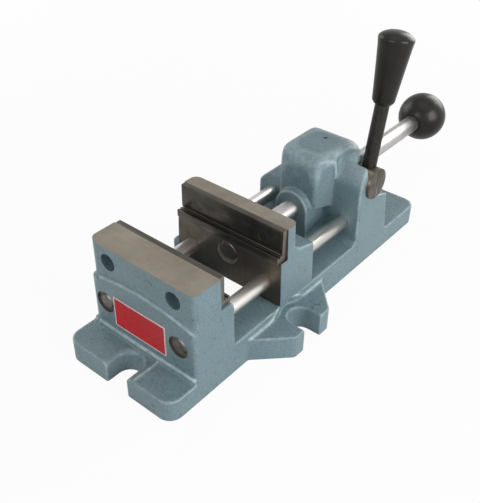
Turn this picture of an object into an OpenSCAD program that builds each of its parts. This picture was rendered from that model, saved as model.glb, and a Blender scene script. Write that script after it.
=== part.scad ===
/* [Jaws] */
// Width of the jaw plates
jaw_w = 101.6; // [90:0.1:103]
// Height of the jaw tops above the bench
jaw_top = 95; // [90:0.5:100]
// Thickness of a jaw plate behind its clamping face
plate_t = 4.8; // [4:0.1:6]
// Height of a jaw plate
plate_h = 27; // [24:0.5:30]
// How far the work ledge stands out from the clamping face
ledge_out = 5.8; // [4:0.1:7]
// Height of the work ledge
ledge_h = 6; // [4:0.5:8]
// Width of the grooves that run along the work ledge
ledge_groove = 1.4; // [0.8:0.1:1.8]
// Opening between the clamping faces as drawn
opening = 65.5; // [40:0.5:90]
// Widest opening between the clamping faces
opening_max = 103.8; // [95:0.1:120]
// Spacing of the two screws in each jaw plate
plate_screw_gap = 64; // [50:1:70]
// Depth of the plate screws below the jaw tops
plate_screw_drop = 12.5; // [11:0.5:14]
// Thread diameter of the plate screws
plate_screw_d = 8; // [6:0.5:9]
// Head diameter of the plate screws
screw_head_d = 13.5; // [11:0.5:14]
// Head height of the plate screws
screw_head_h = 7.5; // [6:0.5:8]

/* [Fixed jaw block] */
// Depth of the block from clamping face to front face
block_depth = 31; // [29:0.5:40]
// Radius of the block's upright front corners
block_corner_r = 4; // [2:0.5:11]
// How far the lower pad stands out from the front face
pad_out = 2; // [1:0.1:4]
// Radius of the pad's upright corners
pad_corner_r = 3.5; // [2:0.5:12]
// Height of the pad's arched edge at the sides
pad_side_z = 62; // [58:0.5:66]
// Rise of the pad's arched edge to the middle
pad_rise = 8; // [5:0.5:9]
// Width of the name plate
badge_w = 52; // [30:1:54]
// Height of the name plate
badge_h = 27; // [15:1:28]
// Thickness of the name plate
badge_t = 0.8; // [0.5:0.1:1.5]
// Height of the name plate's middle
badge_z = 42; // [40:0.5:46]
// Distance of the name plate's middle from the middle of the vise
badge_x = -1; // [-1.5:0.5:1.5]

/* [Base] */
// Width of the base
base_w = 108; // [106:0.5:120]
// Draft angle of the casting's sides
draft = 1.7; // [0.5:0.1:2]
// Thickness of the feet
foot_t = 18.3; // [14:0.1:22]
// Length of the front foot beyond the pad
front_foot = 27.5; // [26:0.5:45]
// Length of the rear foot beyond the head
rear_foot = 58; // [45:0.5:70]
// Radius of the feet's corners
foot_corner_r = 11; // [4:0.5:14]
// Height of the bed rails
rail_top = 27; // [24:0.5:28]
// Width of the open window between the rails
window_w = 60; // [44:1:62]
// Width of the slots in the front and rear feet
foot_slot_w = 21; // [14:0.5:24]
// Land left between a foot slot's bevel and the hollow corner behind it
foot_slot_land = 0.5; // [0.4:0.1:2]
// Bevel round the top edge of a foot slot
foot_slot_bevel = 2.5; // [1:0.5:4]
// Middle of the side lugs behind the fixed clamping face
lug_y = 71; // [60:0.5:85]
// Thickness of the lugs
lug_t = 20.5; // [16:0.5:23]
// How far the lugs stand out from the base
lug_out = 25.5; // [22:0.5:32]
// Length of a lug along its outer edge
lug_len = 44; // [38:0.5:56]
// Width of the slots in the lugs
lug_slot_w = 21; // [12:0.5:24]
// Land between a lug slot and the side of the base
lug_slot_land = 3.5; // [2:0.5:6]
// Radius of the lugs' outer corners
lug_corner_r = 6; // [3:0.5:9]
// Bevel round the top edge of a lug slot
lug_slot_bevel = 1.2; // [0.5:0.1:2]
// Radius of the room for a bolt's head, cut into the rail beside a lug slot
lug_relief_r = 17.5; // [15:0.5:19]

/* [Movable jaw] */
// Length of the movable jaw behind its clamping face
jaw_len = 40.5; // [38:0.1:55]
// How far the movable jaw's lower face stands ahead of its clamping face
jaw_front_out = 3; // [1:0.1:3.5]
// Thickness of the upper jaw behind its plate
jaw_back_t = 13; // [12:0.5:18]
// Height of the lower jaw where it meets the upper part
jaw_step_z = 70.5; // [69:0.5:74]
// Drop of the sloping top towards the rear
jaw_slope_drop = 6; // [3:0.5:7]
// Radius of the upright rear corners
jaw_corner_r = 6; // [3:0.5:9]

/* [Rods] */
// Diameter of the guide rods
guide_d = 12.7; // [10:0.1:14]
// Distance of each guide rod from the middle
guide_x = 37; // [35:0.5:39]
// Height of the guide rods
guide_z = 44.5; // [43:0.5:47]
// Diameter of the shallow recess round each guide rod's front end
guide_recess_d = 18; // [15:0.1:19]
// Diameter of the actuating rod
rod_d = 15.9; // [14:0.1:17]
// Height of the actuating rod
rod_z = 54; // [52:0.5:56]
// Clear length of rod between the head and the ball knob as drawn
rod_reach = 134; // [110:1:160]
// Diameter of the ball knob
ball_d = 48; // [40:0.5:54]
// Thickness of the retaining rings
ring_t = 1.3; // [1:0.1:2]
// Radial width of the retaining rings outside the rod
ring_wall = 1.9; // [1.4:0.1:2.4]
// Diameter of the threaded end inside the ball knob
stub_d = 11; // [8:0.5:12]

/* [Head] */
// How far the arched rod boss stands ahead of the dome
arch_out = 7.5; // [5:0.5:12]
// Radius of the arched rod boss
arch_r = 16.5; // [15:0.5:17.5]
// How far the dome stands ahead of the wings
dome_out = 17; // [15:0.5:22]
// Length of the dome behind the wings' front
dome_len = 40; // [37:0.5:46]
// Width of the dome at the wings
dome_w = 51; // [50:0.5:56]
// Width of the dome's front face
dome_front_w = 36; // [32:0.5:42]
// Height of the dome's top
dome_top = 103.5; // [101:0.5:108]
// Height of the dome's underside ahead of the wings
dome_under = 56; // [54:0.5:60]
// Radius along the dome's top edges
dome_edge_r = 10; // [4:0.5:11]
// Length of the wings
wing_len = 49; // [46:0.5:56]
// Height of the low wing
wing_top = 57; // [55:0.5:60]
// Radius along the low wing's top edges
wing_edge_r = 7; // [3:0.5:9]

/* [Cam and lever] */
// Diameter of the cam shaft
cam_d = 27; // [25:0.5:28]
// Height of the cam shaft
cam_z = 79; // [77:0.5:81]
// Radius of the boss round the cam shaft
cam_boss_r = 21.5; // [19:0.5:23]
// How far the cam shaft's end stands out of the wing
cam_end_out = 2.5; // [0.5:0.5:6]
// Diameter of the eccentric in the middle of the shaft
lobe_d = 22; // [19:0.5:22]
// Offset of the eccentric
lobe_offset = 2.4; // [1:0.1:2.4]
// Length of the eccentric
lobe_len = 22; // [21:0.5:24]
// Distance of the lever from the middle
lever_x = 44; // [43:0.5:45]
// Lean of the lever towards the rear as drawn
lever_lean = 9.4; // [0:0.1:15]
// Length of the lever from the shaft's axis to the grip's top
lever_len = 125; // [100:1:160]
// Diameter of the lever rod
lever_d = 12; // [10:0.1:13]
// Length of the lever grip
grip_len = 58; // [40:0.5:80]
// Largest diameter of the lever grip
grip_d = 29; // [24:0.5:34]
// Diameter of the lever grip at its lower end
grip_foot_d = 18.5; // [16:0.5:22]

/* [Lock] */
// Thickness of each locking plate
lock_t = 5; // [3:0.5:5.5]
// Width of a locking plate round the rod
lock_w = 24; // [22:0.5:25]
// Width of a locking plate in front of the eccentric
lock_neck_w = 20; // [14:0.5:20]
// Wire diameter of the return spring
spring_wire = 2; // [1:0.1:2.2]
// Turns of the return spring
spring_turns = 4; // [3:1:4]

/* [Fits] */
// Radial clearance of sliding and turning fits
run_fit = 0.08; // [0.03:0.01:0.1]
// Radial clearance of fixed rods, shanks and inserts
snug_fit = 0.03; // [0.02:0.01:0.05]
// Clearance round screw heads, rings and other loose seats
seat_gap = 0.3; // [0.2:0.05:0.4]
// Gap between the ledges or castings at the ends of the travel
stop_gap = 0.5; // [0.3:0.1:1]
// Gap between the movable jaw and the bed
bed_gap = 0.6; // [0.4:0.1:1]

/* [Walls and small sizes] */
// Shelf left behind the fixed jaw block, ahead of the window
window_lip = 6; // [4:0.5:10]
// Depth of the fixed plate's screw heads below the block's front face
head_sink = 8; // [0.5:0.5:9]
// Depth of the movable plate's screw heads below the jaw's rear face
jaw_head_sink = 1; // [0.5:0.5:2]
// Depth of the screws' points below the clamping faces
point_sink = 0.2; // [0.1:0.1:0.5]
// Depth of the guide rods' front ends below the pad
guide_sink = 1; // [0.5:0.5:2]
// Wall behind the guide rods' rear ends
guide_wall = 12; // [8:1:16]
// Thread diameter of the guide rods' set screws
guide_screw_d = 8; // [6:0.5:9]
// Length of the guide rods' set screws
guide_screw_len = 10; // [8:1:16]
// Depth of the retaining ring grooves in the actuating rod
ring_bite = 0.8; // [0.5:0.1:1.2]
// Depth of the recesses round the retaining rings
recess_depth = 4; // [3:0.5:5]
// Depth of the actuating rod's front end in its recess
rod_sink = 1.2; // [0.5:0.1:1.5]
// Length of the threaded end inside the ball knob
stub_len = 27; // [20:1:30]
// Wall of the threaded insert in the ball knob
insert_wall = 2.5; // [1.5:0.5:4]
// Wall between the cam shaft's inner end and the dome's side
cam_wall = 4; // [3:0.5:5]
// Width of the groove that keeps the cam shaft in place
keep_w = 5; // [4.5:0.5:6]
// Thread diameter of the screw that keeps the cam shaft in place
keep_d = 6; // [5:0.5:8]
// Depth of the groove that keeps the cam shaft in place
keep_depth = 2; // [1.5:0.5:3]
// Wall round the actuating rod in front of the return spring
spring_wall = 8.3; // [6:0.1:9]
// Play round the locking plates in their cavity
cavity_play = 1; // [0.5:0.5:2]
// Diameter of the oil hole over the cam shaft
oil_d = 3; // [2:0.5:5]
// Size of the hollow corner between pad and foot
pad_hollow = 2.5; // [1:0.5:5]
// Size of the hollow corner between head and rear foot
head_hollow = 4; // [2:0.5:6]
// Size of the hollow corner between the wings and the rails
wing_hollow = 5; // [3:0.5:7]

/* [Hidden] */
$fn = 72;
over = 1;

paint = [0.42, 0.52, 0.56];
machined = [0.52, 0.49, 0.45];
dark_steel = [0.26, 0.24, 0.21];
bright_steel = [0.8, 0.79, 0.77];
black = [0.16, 0.15, 0.14];

// Places along the vise, with the fixed clamping face at zero
seat_z = jaw_top - plate_h;
block_front = -block_depth;
pad_front = block_front - pad_out;
foot_front = pad_front - front_foot;
closed_face = 2 * ledge_out + stop_gap;
block_inner = closed_face - jaw_front_out - stop_gap;
jaw_front = opening - jaw_front_out;
jaw_plate_back = opening + plate_t;
jaw_upper_back = jaw_plate_back + jaw_back_t;
jaw_rear = opening + jaw_len;
arch_front = jaw_rear + opening_max - opening + stop_gap;
dome_front = arch_front + arch_out;
wing_front = dome_front + dome_out;
cam_y = wing_front + cam_boss_r;
boss_rear = cam_y + cam_boss_r;
dome_rear = wing_front + dome_len;
head_rear = wing_front + wing_len;
foot_rear = head_rear + rear_foot;
window_front = block_inner + window_lip;

// Casting sides lean in above the feet
half_w = base_w / 2;
top_z = dome_top + 10;
function half_at(z) = half_w - max(0, z - foot_t) * tan(draft);

// Screws, rods and rings
plate_screw_z = jaw_top - plate_screw_drop;
head_room = screw_head_h + head_sink;
jaw_head_room = screw_head_h + jaw_head_sink;
hex_d = screw_head_d / 2;
guide_blind = head_rear - guide_wall;
guide_front = pad_front + guide_sink;
guide_screw_y = block_front / 2;
ring_d = rod_d + 2 * ring_wall;
ring_room = ring_d + 2 * seat_gap;
ring_groove_d = rod_d - 2 * ring_bite;
front_ring_y = jaw_front + recess_depth - ring_t;
rear_ring_y = jaw_rear - recess_depth;
rod_front = jaw_front + rod_sink;
insert_d = stub_d + 2 * insert_wall;
ball_flat_r = insert_d / 2 + insert_wall / 2;
ball_flat = sqrt(pow(ball_d / 2, 2) - pow(ball_flat_r, 2));
ball_y = head_rear + rod_reach + ball_flat;
ball_face = ball_y - ball_flat;
stub_end = ball_face + stub_len;
insert_end = stub_end + insert_wall;

// Cam shaft, lever and lock
cam_left = -dome_w / 2 + cam_wall;
cam_right = half_at(cam_z) + cam_end_out;
lobe_angle = 101;
lobe_gap = 0.45;
lobe_front = cam_y - lobe_d / 2 - lobe_offset * cos(lobe_angle);
lock_rear = lobe_front - lobe_gap;
lock_front = lock_rear - 2 * lock_t;
lock_stroke = 2.7;
lock_lip = (lock_w - rod_d) / 2;
lock_low = rod_z - rod_d / 2 - lock_lip;
lock_shoulder = cam_z - cam_d / 2 - 2 * cavity_play;
lock_high = cam_z + lobe_d / 3;
cavity_w = lock_w + 2 * cavity_play;
cavity_front = lock_front - lock_stroke - 3 * cavity_play;
cavity_rear = cam_y + lobe_d / 2;
cavity_top = lock_high + 3 * cavity_play;
spring_seat = arch_front + spring_wall;
spring_mean_d = rod_d + 2.3 * spring_wire;
spring_room_d = spring_mean_d + 2 * spring_wire;
keep_x = cam_left + keep_w;
keep_groove_d = cam_d - 2 * keep_depth;
dog_d = keep_w - 4 * seat_gap;
hole_bottom = -cam_d / 2 + 3;
lever_play = 1.2;
lever_cut_x = lever_x - lever_d / 2 - lever_play;
lever_cut_front = cam_y - lever_d / 2 - 3 * lever_play;
lever_cut_floor = cam_z - lever_d / 2 - 6 * lever_play;
grip_bore = grip_len * 0.7;

// Extrudes an outline drawn in Y and Z along X
module along_x(x0, x1) {
    translate([x0, 0, 0]) rotate([90, 0, 90]) linear_extrude(x1 - x0) children();
}

// Extrudes an outline drawn in X and Z along Y
module along_y(y0, y1) {
    translate([0, y1, 0]) rotate([90, 0, 0]) linear_extrude(y1 - y0) children();
}

module bar_x(d, x0, x1, y, z) {
    translate([x0, y, z]) rotate([0, 90, 0]) cylinder(d = d, h = x1 - x0);
}

module bar_y(d, y0, y1, x, z) {
    translate([x, y0, z]) rotate([-90, 0, 0]) cylinder(d = d, h = y1 - y0);
}

module bar_z(d, z0, z1, x, y) {
    translate([x, y, z0]) cylinder(d = d, h = z1 - z0);
}

// Convex outline with every corner rounded by a true arc
function toward(a, b) = (b - a) / norm(b - a);
module round_outline(points, r) {
    n = len(points);
    to_last = [for (i = [0 : n - 1]) toward(points[i], points[(i + n - 1) % n])];
    to_next = [for (i = [0 : n - 1]) toward(points[i], points[(i + 1) % n])];
    half_angle = [for (i = [0 : n - 1]) acos(to_last[i] * to_next[i]) / 2];
    polygon([for (i = [0 : n - 1]) each [
        points[i] + to_last[i] * r / tan(half_angle[i]),
        points[i] + to_next[i] * r / tan(half_angle[i])
    ]]);
    for (i = [0 : n - 1]) {
        middle = toward([0, 0], to_last[i] + to_next[i]);
        translate(points[i] + middle * r / sin(half_angle[i])) circle(r = r);
    }
}

function box_points(x0, y0, x1, y1) = [[x0, y0], [x1, y0], [x1, y1], [x0, y1]];

// Waste outside a rounded upright corner, with the body on the side of -X and +Y
module corner_waste(r, h) {
    difference() {
        translate([-r, -over, 0]) cube([r + over, r + over, h]);
        translate([-r, r, -over]) cylinder(r = r, h = h + 2 * over);
    }
}

// The same waste on both sides of the vise, leaning with the draft
module leaning_corners(r, y, toward_rear) {
    for (side = [0, 1]) mirror([side, 0, 0])
        translate([half_w, y, foot_t]) rotate([0, -draft, 0])
            mirror([0, toward_rear ? 0 : 1, 0]) corner_waste(r, top_z);
}

// Slot open towards -Y, with a round end at the origin and a bevelled top edge
module slot_cut(w, reach, t, bevel) {
    wide = w + 2 * bevel;
    translate([0, 0, -over]) cylinder(d = w, h = t + 2 * over);
    translate([-w / 2, -reach, -over]) cube([w, reach, t + 2 * over]);
    translate([0, 0, t - bevel]) cylinder(d1 = w, d2 = wide, h = bevel);
    along_y(-reach, 0) polygon([[-w / 2, t - bevel], [w / 2, t - bevel], [wide / 2, t], [-wide / 2, t]]);
}

module foot_slot(reach) {
    slot_cut(foot_slot_w, reach, foot_t, foot_slot_bevel);
}

module all_slots() {
    land = foot_slot_land + foot_slot_bevel + foot_slot_w / 2;
    lug_slot_x = half_w + lug_slot_land + lug_slot_w / 2;
    translate([0, pad_front - pad_hollow - land, 0]) foot_slot(front_foot);
    translate([0, head_rear + head_hollow + land, 0]) rotate([0, 0, 180]) foot_slot(rear_foot);
    for (side = [-1, 1]) translate([side * lug_slot_x, lug_y, 0]) {
        rotate([0, 0, side * 90]) slot_cut(lug_slot_w, lug_out, lug_t, lug_slot_bevel);
        bar_z(2 * lug_relief_r, lug_t, wing_top, 0, 0);
    }
}

module feet() {
    linear_extrude(foot_t) round_outline(box_points(-half_w, foot_front, half_w, foot_rear), foot_corner_r);
}

// Lugs at the sides, with flanks at 45 degrees that run on into the base
module lugs() {
    inside = lug_corner_r / tan(22.5) * cos(45) + over;
    root = half_w - inside;
    spread = lug_len / 2 + lug_out + inside;
    for (side = [0, 1]) mirror([side, 0, 0]) linear_extrude(lug_t) round_outline([
        [root, lug_y - spread], [half_w + lug_out, lug_y - lug_len / 2],
        [half_w + lug_out, lug_y + lug_len / 2], [root, lug_y + spread]
    ], lug_corner_r);
}

// Space between the drafted sides
module between_sides(y0, y1) {
    along_y(y0, y1) polygon([
        [-half_w, 0], [half_w, 0], [half_w, foot_t], [half_at(top_z), top_z],
        [-half_at(top_z), top_z], [-half_w, foot_t]
    ]);
}

// Fixed jaw block with the seat for its plate
module block_body() {
    edge = block_inner - ledge_out + stop_gap;
    difference() {
        along_x(-half_w, half_w) polygon([
            [block_front, 0], [block_front, jaw_top], [-plate_t, jaw_top], [-plate_t, seat_z],
            [block_inner - edge, seat_z], [block_inner, seat_z - edge], [block_inner, 0]
        ]);
        leaning_corners(block_corner_r, block_front, true);
    }
}

// Pad on the front face with an arched upper edge
module front_pad() {
    arch = (half_w * half_w + pad_rise * pad_rise) / (2 * pad_rise);
    difference() {
        along_y(pad_front, block_front + block_corner_r) intersection() {
            translate([-half_w, 0]) square([base_w, pad_side_z + pad_rise]);
            translate([0, pad_side_z + pad_rise - arch]) circle(r = arch, $fn = 180);
        }
        leaning_corners(pad_corner_r, pad_front, true);
    }
}

// Hollow corner between a face and the level it stands on, met by its arc at a slight angle
module hollow_profile(size) {
    share = 0.9;
    centre = size / (1 - sqrt(1 / (share * share) - 1));
    difference() {
        translate([-over, -over]) square(size * 1.2 + over);
        translate([centre, centre]) circle(r = centre / share);
    }
}

module hollow_corner(y, z, size, dir, reach) {
    along_x(-reach, reach) translate([y, z]) mirror([dir > 0 ? 0 : 1, 0]) hollow_profile(size);
}

// Place of the head's rear face, which leans in from the foot to the cam boss
function rear_at(z) = head_rear - (head_rear - boss_rear) * (z - foot_t) / (cam_z - foot_t);

// Low wing across the head, rounded along its front and outer top edges
module low_wing() {
    edge_z = wing_top - wing_edge_r;
    intersection() {
        along_x(-half_w, half_w) union() {
            round_outline([
                [wing_front, rail_top], [rear_at(rail_top), rail_top],
                [rear_at(wing_top), wing_top], [wing_front, wing_top]
            ], wing_edge_r);
            polygon([
                [wing_front, 0], [head_rear, 0], [head_rear, foot_t],
                [rear_at(edge_z), edge_z], [wing_front, edge_z]
            ]);
        }
        along_y(wing_front, head_rear) union() {
            round_outline(box_points(-half_at(wing_top), 0, half_w, wing_top), wing_edge_r);
            translate([-half_w, 0]) square([base_w, wing_top / 2]);
        }
    }
}

// Tall wing that carries the cam shaft
module cam_wing() {
    along_x(0, half_w) union() {
        translate([cam_y, cam_z]) circle(r = cam_boss_r);
        polygon([
            [wing_front, 0], [wing_front, cam_z], [boss_rear, cam_z], [head_rear, foot_t], [head_rear, 0]
        ]);
    }
}

// Dome over the lock, narrowing to its front face
module dome() {
    intersection() {
        translate([0, 0, dome_under]) linear_extrude(dome_top - dome_under) round_outline([
            [-dome_front_w / 2, dome_front], [dome_front_w / 2, dome_front],
            [dome_w / 2, wing_front], [dome_w / 2, dome_rear],
            [-dome_w / 2, dome_rear], [-dome_w / 2, wing_front]
        ], dome_edge_r / 2);
        along_x(-dome_w, dome_w) union() {
            round_outline(box_points(dome_front, 0, dome_rear, dome_top), dome_edge_r);
            translate([dome_front, 0]) square([dome_rear - dome_front, dome_top / 2]);
        }
        along_y(dome_front - over, dome_rear + over)
            round_outline(box_points(-dome_w / 2, 0, dome_w / 2, dome_top), dome_edge_r);
    }
}

// Arched boss that carries the actuating rod
module rod_arch() {
    foot = arch_r + 3;
    along_y(arch_front, wing_front + over) union() {
        translate([0, rod_z]) circle(r = arch_r);
        polygon([[-arch_r, rod_z], [arch_r, rod_z], [foot, 0], [-foot, 0]]);
    }
}

// Room for the locking plates and the return spring, open underneath
module lock_cavity() {
    translate([-cavity_w / 2, cavity_front, -over])
        cube([cavity_w, cavity_rear - cavity_front, cavity_top + over]);
    bar_y(spring_room_d, spring_seat, cavity_front + over, 0, rod_z);
}

// Cut that lets the lever swing from upright to the rear
module lever_cut() {
    along_x(lever_cut_x, half_w + over) union() {
        translate([lever_cut_front, cam_z]) square([wing_len, top_z - cam_z]);
        translate([cam_y, lever_cut_floor]) square([wing_len, top_z - lever_cut_floor]);
    }
}

module base_bores() {
    for (side = [-1, 1]) {
        bar_y(guide_d + 2 * snug_fit, foot_front, guide_blind, side * guide_x, guide_z);
        bar_y(guide_recess_d, foot_front, guide_front + over, side * guide_x, guide_z);
        bar_z(guide_screw_d + 2 * snug_fit, -over, guide_z, side * guide_x, guide_screw_y);
        bar_y(plate_screw_d + 2 * snug_fit, block_front - over, 0, side * plate_screw_gap / 2, plate_screw_z);
        bar_y(screw_head_d + 2 * seat_gap, block_front - over, block_front + head_room,
            side * plate_screw_gap / 2, plate_screw_z);
    }
    bar_y(rod_d + 2 * run_fit, arch_front - over, head_rear + over, 0, rod_z);
    bar_x(cam_d + 2 * run_fit, cam_left - seat_gap, cam_right + over, cam_y, cam_z);
    bar_y(keep_d + 2 * snug_fit, cam_y, dome_rear + over, keep_x, cam_z);
    bar_z(oil_d, cam_z, dome_top + over, 0, cam_y);
}

module base_casting() {
    color(paint) difference() {
        union() {
            feet();
            lugs();
            intersection() {
                between_sides(foot_front, foot_rear);
                union() {
                    block_body();
                    front_pad();
                    hollow_corner(pad_front, foot_t, pad_hollow, -1, half_w - pad_corner_r);
                    hollow_corner(head_rear, foot_t, head_hollow, 1, half_w);
                    hollow_corner(wing_front, rail_top, wing_hollow, -1, half_w);
                    translate([-half_w, block_front, 0]) cube([base_w, head_rear - block_front, rail_top]);
                    low_wing();
                    cam_wing();
                    dome();
                    rod_arch();
                }
            }
        }
        translate([-window_w / 2, window_front, -over])
            cube([window_w, arch_front - window_front, rail_top + 2 * over]);
        all_slots();
        lock_cavity();
        lever_cut();
        base_bores();
    }
}

// Jaw plate with its clamping face at zero and its ledge towards +Y
module jaw_plate() {
    groove_y = ledge_out * 0.58;
    difference() {
        along_x(-jaw_w / 2, jaw_w / 2) difference() {
            polygon([
                [-plate_t, seat_z], [ledge_out, seat_z], [ledge_out, seat_z + ledge_h],
                [0, seat_z + ledge_h], [0, jaw_top], [-plate_t, jaw_top]
            ]);
            translate([0, seat_z + ledge_h]) circle(d = ledge_groove);
            translate([groove_y - ledge_groove / 2, seat_z + ledge_h - ledge_groove])
                square([ledge_groove, ledge_groove + over]);
        }
        for (side = [-1, 1])
            bar_y(plate_screw_d + 2 * snug_fit, -plate_t - over, over,
                side * plate_screw_gap / 2, plate_screw_z);
    }
}

module fixed_jaw_plate() {
    color(dark_steel) jaw_plate();
}

module movable_jaw_plate() {
    color(dark_steel) translate([0, opening, 0]) mirror([0, 1, 0]) jaw_plate();
}

// Socket head screw along +Y, with its head's seat at zero
module plate_screw(reach) {
    difference() {
        union() {
            bar_y(screw_head_d, -screw_head_h, 0, 0, 0);
            bar_y(plate_screw_d, 0, reach, 0, 0);
        }
        rotate([90, 0, 0]) cylinder(d = hex_d, h = screw_head_h + over, $fn = 6);
        bar_y(hex_d, -screw_head_h / 2, 0, 0, 0);
    }
}

module fixed_jaw_screws() {
    seat = block_front + head_room;
    color(black) for (side = [-1, 1])
        translate([side * plate_screw_gap / 2, seat, plate_screw_z]) plate_screw(-seat - point_sink);
}

module movable_jaw_screws() {
    seat = jaw_upper_back - jaw_head_room;
    color(black) for (side = [-1, 1])
        translate([side * plate_screw_gap / 2, seat, plate_screw_z])
            mirror([0, 1, 0]) plate_screw(seat - opening - point_sink);
}

module name_plate() {
    color([0.75, 0.1, 0.12]) translate([badge_x, 0, badge_z]) along_y(pad_front - badge_t, pad_front)
        round_outline(box_points(-badge_w / 2, -badge_h / 2, badge_w / 2, badge_h / 2), 1);
}

module guide_rod(side) {
    bevel = 0.8;
    translate([side * guide_x, guide_front, guide_z]) rotate([-90, 0, 0]) {
        cylinder(d1 = guide_d - 2 * bevel, d2 = guide_d, h = bevel);
        translate([0, 0, bevel]) cylinder(d = guide_d, h = guide_blind - seat_gap - guide_front - bevel);
    }
}

module guide_rod_left() {
    color(bright_steel) guide_rod(-1);
}

module guide_rod_right() {
    color(bright_steel) guide_rod(1);
}

module guide_rod_set_screws() {
    tip = guide_z - guide_d / 2;
    color(black) for (side = [-1, 1]) difference() {
        translate([side * guide_x, guide_screw_y, 0]) {
            bar_z(guide_screw_d, tip - guide_screw_len, tip - 1.5, 0, 0);
            translate([0, 0, tip - 1.5]) cylinder(d1 = guide_screw_d, d2 = guide_screw_d - 3, h = 1.4);
        }
        translate([side * guide_x, guide_screw_y, tip - guide_screw_len - over])
            cylinder(d = guide_screw_d / 2, h = 4 + over, $fn = 6);
    }
}

module movable_jaw() {
    bottom = rail_top + bed_gap;
    color(paint) difference() {
        intersection() {
            between_sides(jaw_front, jaw_rear);
            along_x(-half_w, half_w) polygon([
                [jaw_front, bottom], [jaw_front, seat_z], [jaw_plate_back, seat_z], [jaw_plate_back, jaw_top],
                [jaw_upper_back, jaw_top], [jaw_upper_back + 1.5, jaw_step_z],
                [jaw_rear, jaw_step_z - jaw_slope_drop], [jaw_rear, bottom]
            ]);
        }
        intersection() {
            leaning_corners(jaw_corner_r, jaw_upper_back, false);
            translate([-base_w, 0, jaw_step_z + 2]) cube([2 * base_w, jaw_rear, top_z]);
        }
        leaning_corners(jaw_corner_r / 2, jaw_rear, false);
        for (side = [-1, 1]) {
            bar_y(guide_d + 2 * run_fit, jaw_front - over, jaw_rear + over, side * guide_x, guide_z);
            bar_y(plate_screw_d + 2 * snug_fit, opening, jaw_upper_back,
                side * plate_screw_gap / 2, plate_screw_z);
            bar_y(screw_head_d + 2 * seat_gap, jaw_upper_back - jaw_head_room, jaw_rear,
                side * plate_screw_gap / 2, plate_screw_z);
        }
        bar_y(rod_d + 2 * run_fit, jaw_front - over, jaw_rear + over, 0, rod_z);
        bar_y(ring_room, jaw_front - over, jaw_front + recess_depth, 0, rod_z);
        bar_y(ring_room, jaw_rear - recess_depth, jaw_rear + over, 0, rod_z);
    }
}

module actuating_rod() {
    bevel = 1;
    color(bright_steel) difference() {
        union() {
            translate([0, rod_front, rod_z]) rotate([-90, 0, 0])
                cylinder(d1 = rod_d - 2 * bevel, d2 = rod_d, h = bevel);
            bar_y(rod_d, rod_front + bevel, ball_face, 0, rod_z);
            bar_y(stub_d, ball_face, stub_end, 0, rod_z);
        }
        for (y = [front_ring_y, rear_ring_y]) difference() {
            bar_y(rod_d + over, y, y + ring_t, 0, rod_z);
            bar_y(ring_groove_d, y - over, y + ring_t + over, 0, rod_z);
        }
    }
}

// Open retaining ring that snaps into a groove of the actuating rod
module retaining_ring(y) {
    mouth = rod_d * 0.55;
    along_y(y, y + ring_t) translate([0, rod_z]) difference() {
        circle(d = ring_d);
        circle(d = ring_groove_d + 2 * snug_fit);
        rotate(-150) translate([0, -mouth / 2]) square([ring_d, mouth]);
    }
}

module rod_front_ring() {
    color(dark_steel) retaining_ring(front_ring_y);
}

module rod_rear_ring() {
    color(dark_steel) retaining_ring(rear_ring_y);
}

module ball_knob() {
    color(black) translate([0, ball_y, rod_z]) rotate([-90, 0, 0]) rotate_extrude() difference() {
        intersection() {
            circle(d = ball_d);
            translate([0, -ball_flat]) square([ball_d, 2 * ball_d]);
        }
        translate([0, -ball_d]) square([insert_d / 2 + snug_fit, insert_end - ball_y + ball_d]);
    }
}

module ball_knob_insert() {
    color([0.72, 0.6, 0.3]) difference() {
        bar_y(insert_d, ball_face, insert_end, 0, rod_z);
        bar_y(stub_d + 2 * snug_fit, ball_face - over, stub_end, 0, rod_z);
    }
}

// Carries lever pieces from the lever's own axis to their place
module on_lever() {
    translate([lever_x, cam_y, cam_z]) rotate([-lever_lean, 0, 0]) children();
}

module cam_shaft() {
    lobe_y = cam_y - lobe_offset * cos(lobe_angle);
    lobe_z = cam_z - lobe_offset * sin(lobe_angle);
    color(dark_steel) difference() {
        union() {
            bar_x(cam_d, cam_left, keep_x - keep_w / 2, cam_y, cam_z);
            bar_x(keep_groove_d, cam_left, -lobe_len / 2, cam_y, cam_z);
            bar_x(cam_d, keep_x + keep_w / 2, -lobe_len / 2, cam_y, cam_z);
            bar_x(lobe_d, -lobe_len / 2, lobe_len / 2, lobe_y, lobe_z);
            bar_x(cam_d, lobe_len / 2, cam_right, cam_y, cam_z);
        }
        on_lever() bar_z(lever_d + 2 * snug_fit, hole_bottom, cam_d, 0, 0);
    }
}

module cam_shaft_set_screw() {
    tip = cam_y + keep_groove_d / 2 + seat_gap;
    shoulder = cam_y + cam_d / 2 + seat_gap;
    color(black) difference() {
        union() {
            bar_y(dog_d, tip, shoulder, keep_x, cam_z);
            bar_y(keep_d, shoulder, dome_rear - seat_gap, keep_x, cam_z);
        }
        translate([keep_x, dome_rear, cam_z]) rotate([90, 0, 0]) cylinder(d = keep_d / 2, h = 3, $fn = 6);
    }
}

module lever_rod() {
    color(black) on_lever() bar_z(lever_d, hole_bottom + seat_gap, lever_len - grip_len + grip_bore, 0, 0);
}

// Tapered grip with a rounded top edge
module lever_grip() {
    edge = 4;
    top_r = grip_d / 2;
    color(black) on_lever() translate([0, 0, lever_len - grip_len]) difference() {
        rotate_extrude() union() {
            polygon([
                [0, 0], [grip_foot_d / 2 - 1, 0], [grip_foot_d / 2, 1],
                [top_r, grip_len - edge], [top_r - edge, grip_len - edge],
                [top_r - edge, grip_len], [0, grip_len]
            ]);
            translate([top_r - edge, grip_len - edge]) intersection() {
                circle(r = edge);
                square(edge);
            }
        }
        bar_z(lever_d + 2 * snug_fit, -over, grip_bore + seat_gap, 0, 0);
    }
}

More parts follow.
